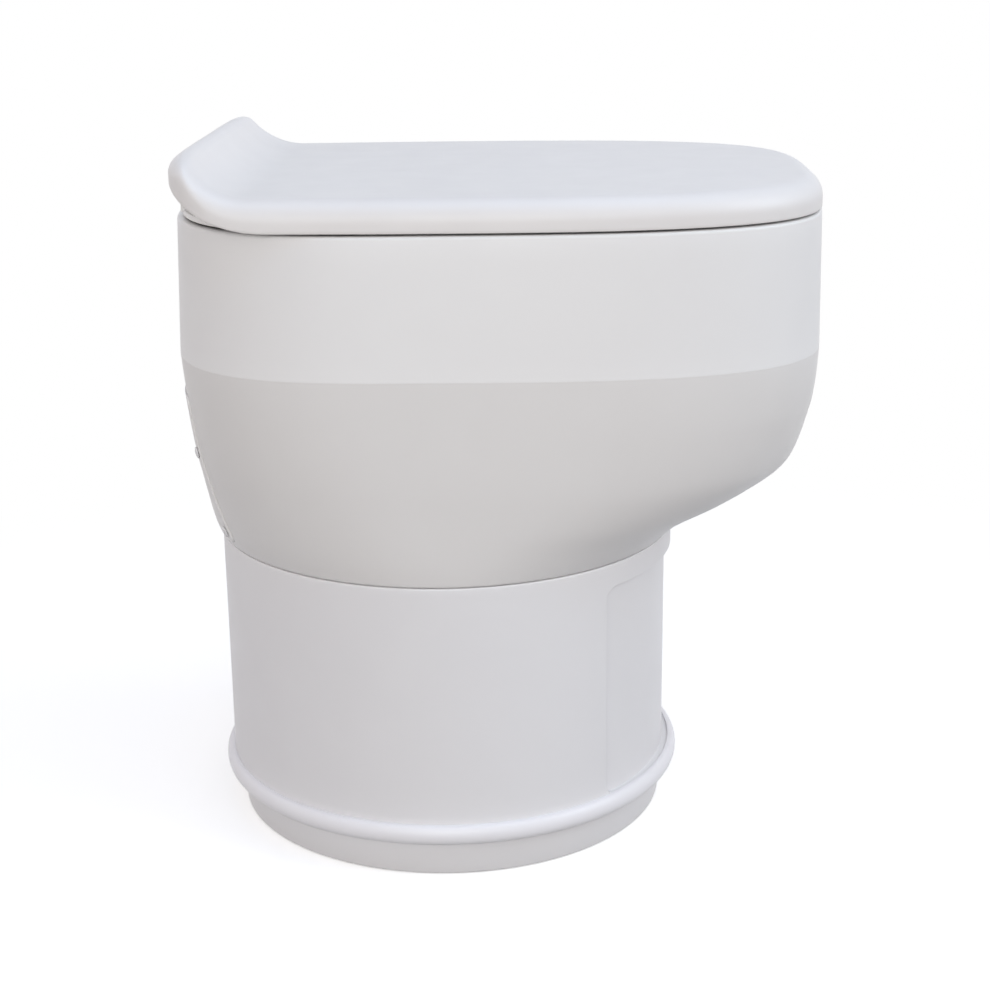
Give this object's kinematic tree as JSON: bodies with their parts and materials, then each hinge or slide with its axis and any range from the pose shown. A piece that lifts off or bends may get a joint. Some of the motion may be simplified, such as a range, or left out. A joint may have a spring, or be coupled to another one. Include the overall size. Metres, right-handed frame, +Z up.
{
  "type": "sealing toilet",
  "caption": "Free-standing toilet on a round pedestal, with a lift-up lid that sweeps up at the rear and a bucket on a motor turntable that twists the film liner shut.",
  "frame": {"origin": "on the floor, under the centre of the whole product's bounding box", "axes": "+Z up; -Y is the front, which a seated user faces; +X is the seated user's left"},
  "size_m": [0.3736, 0.4814, 0.5345],
  "materials": {
    "lid_plastic": "smooth white moulding, soft gloss",
    "body_plastic": "white moulding, satin gloss",
    "bowl_plastic": "white moulding, satin gloss, slightly warm",
    "base_plastic": "white moulding, satin gloss",
    "seat_plastic": "white moulding, smooth",
    "inner_plastic": "grey moulding, matte",
    "bucket_plastic": "dark grey moulding, matte",
    "gear_plastic": "natural acetal, matte",
    "film": "thin barrier film",
    "rubber": "matte black",
    "steel": "brushed",
    "housing_plastic": "black moulding, matte",
    "battery_wrap": "blue shrink wrap",
    "circuit_board": "green board with dark components",
    "filter_felt": "black carbon felt",
    "button_plastic": "pale grey moulding, smooth"
  },
  "bodies": {
    "base": {"base_tray": "base_plastic", "trim_ring": "base_plastic", "rubber_foot_ring": "rubber", "pedestal_shell": "base_plastic", "spindle": "steel", "thrust_washer": "gear_plastic", "motor_bracket": "steel", "gearbox": "housing_plastic", "drive_motor": "steel", "bowl_shell": "bowl_plastic", "upper_band": "body_plastic", "chassis_plate": "inner_plastic", "cassette_body": "inner_plastic", "film_pack": "film", "cassette_cover": "inner_plastic", "film_sleeve": "film", "splash_funnel": "inner_plastic", "fan_housing": "housing_plastic", "fan_motor": "steel", "carbon_filter": "filter_felt", "battery_pack": "battery_wrap", "control_board": "circuit_board", "rear_cover": "bowl_plastic", "cover_screw_1": "base_plastic", "cover_screw_2": "base_plastic", "cover_screw_3": "base_plastic", "cover_screw_4": "base_plastic", "power_inlet": "housing_plastic", "button_bezel": "body_plastic", "button_switch": "housing_plastic", "deck_gasket": "rubber"},
    "turntable": {"turntable": "gear_plastic", "waste_bucket": "bucket_plastic", "sealed_bag": "film"},
    "pinion": {"drive_pinion": "gear_plastic", "output_shaft": "steel"},
    "fan": {"fan_impeller": "inner_plastic"},
    "button": {"start_button": "button_plastic"},
    "deck": {"seat_deck": "seat_plastic", "hinge_pin_left": "steel", "hinge_pin_right": "steel", "soft_close_damper_left": "housing_plastic", "soft_close_damper_right": "housing_plastic"},
    "lid": {"lid": "lid_plastic", "lid_bumper_1": "rubber", "lid_bumper_2": "rubber", "lid_bumper_3": "rubber", "lid_bumper_4": "rubber"}
  },
  "joints": [
    {"name": "deck_lift", "type": "slide", "parent": "base", "child": "deck", "axis": [0, 0, 1], "range_m": [0, 0.1]},
    {"name": "lid_hinge", "type": "hinge", "parent": "deck", "child": "lid", "pos_m": [0, 0.22192, 0.498], "axis": [-1, 0, 0], "range_deg": [0, 96]},
    {"name": "turntable_spin", "type": "hinge", "parent": "base", "child": "turntable", "pos_m": [0, 0.04388, 0.02], "axis": [0, 0, 1], "continuous": true},
    {"name": "pinion_spin", "type": "hinge", "parent": "base", "child": "pinion", "pos_m": [0, 0.18108, 0.02], "axis": [0, 0, 1], "continuous": true},
    {"name": "fan_spin", "type": "hinge", "parent": "base", "child": "fan", "pos_m": [-0.058, 0.19452, 0.33002], "axis": [0, 1, 0], "continuous": true},
    {"name": "start_button_press", "type": "slide", "parent": "base", "child": "button", "axis": [-1, 0, 0], "range_m": [0, 0.0025], "stiffness_N_per_m": 500}
  ],
  "couplings": [
    {"joint": "pinion_spin", "follows": "turntable_spin", "ratio": -5}
  ]
}
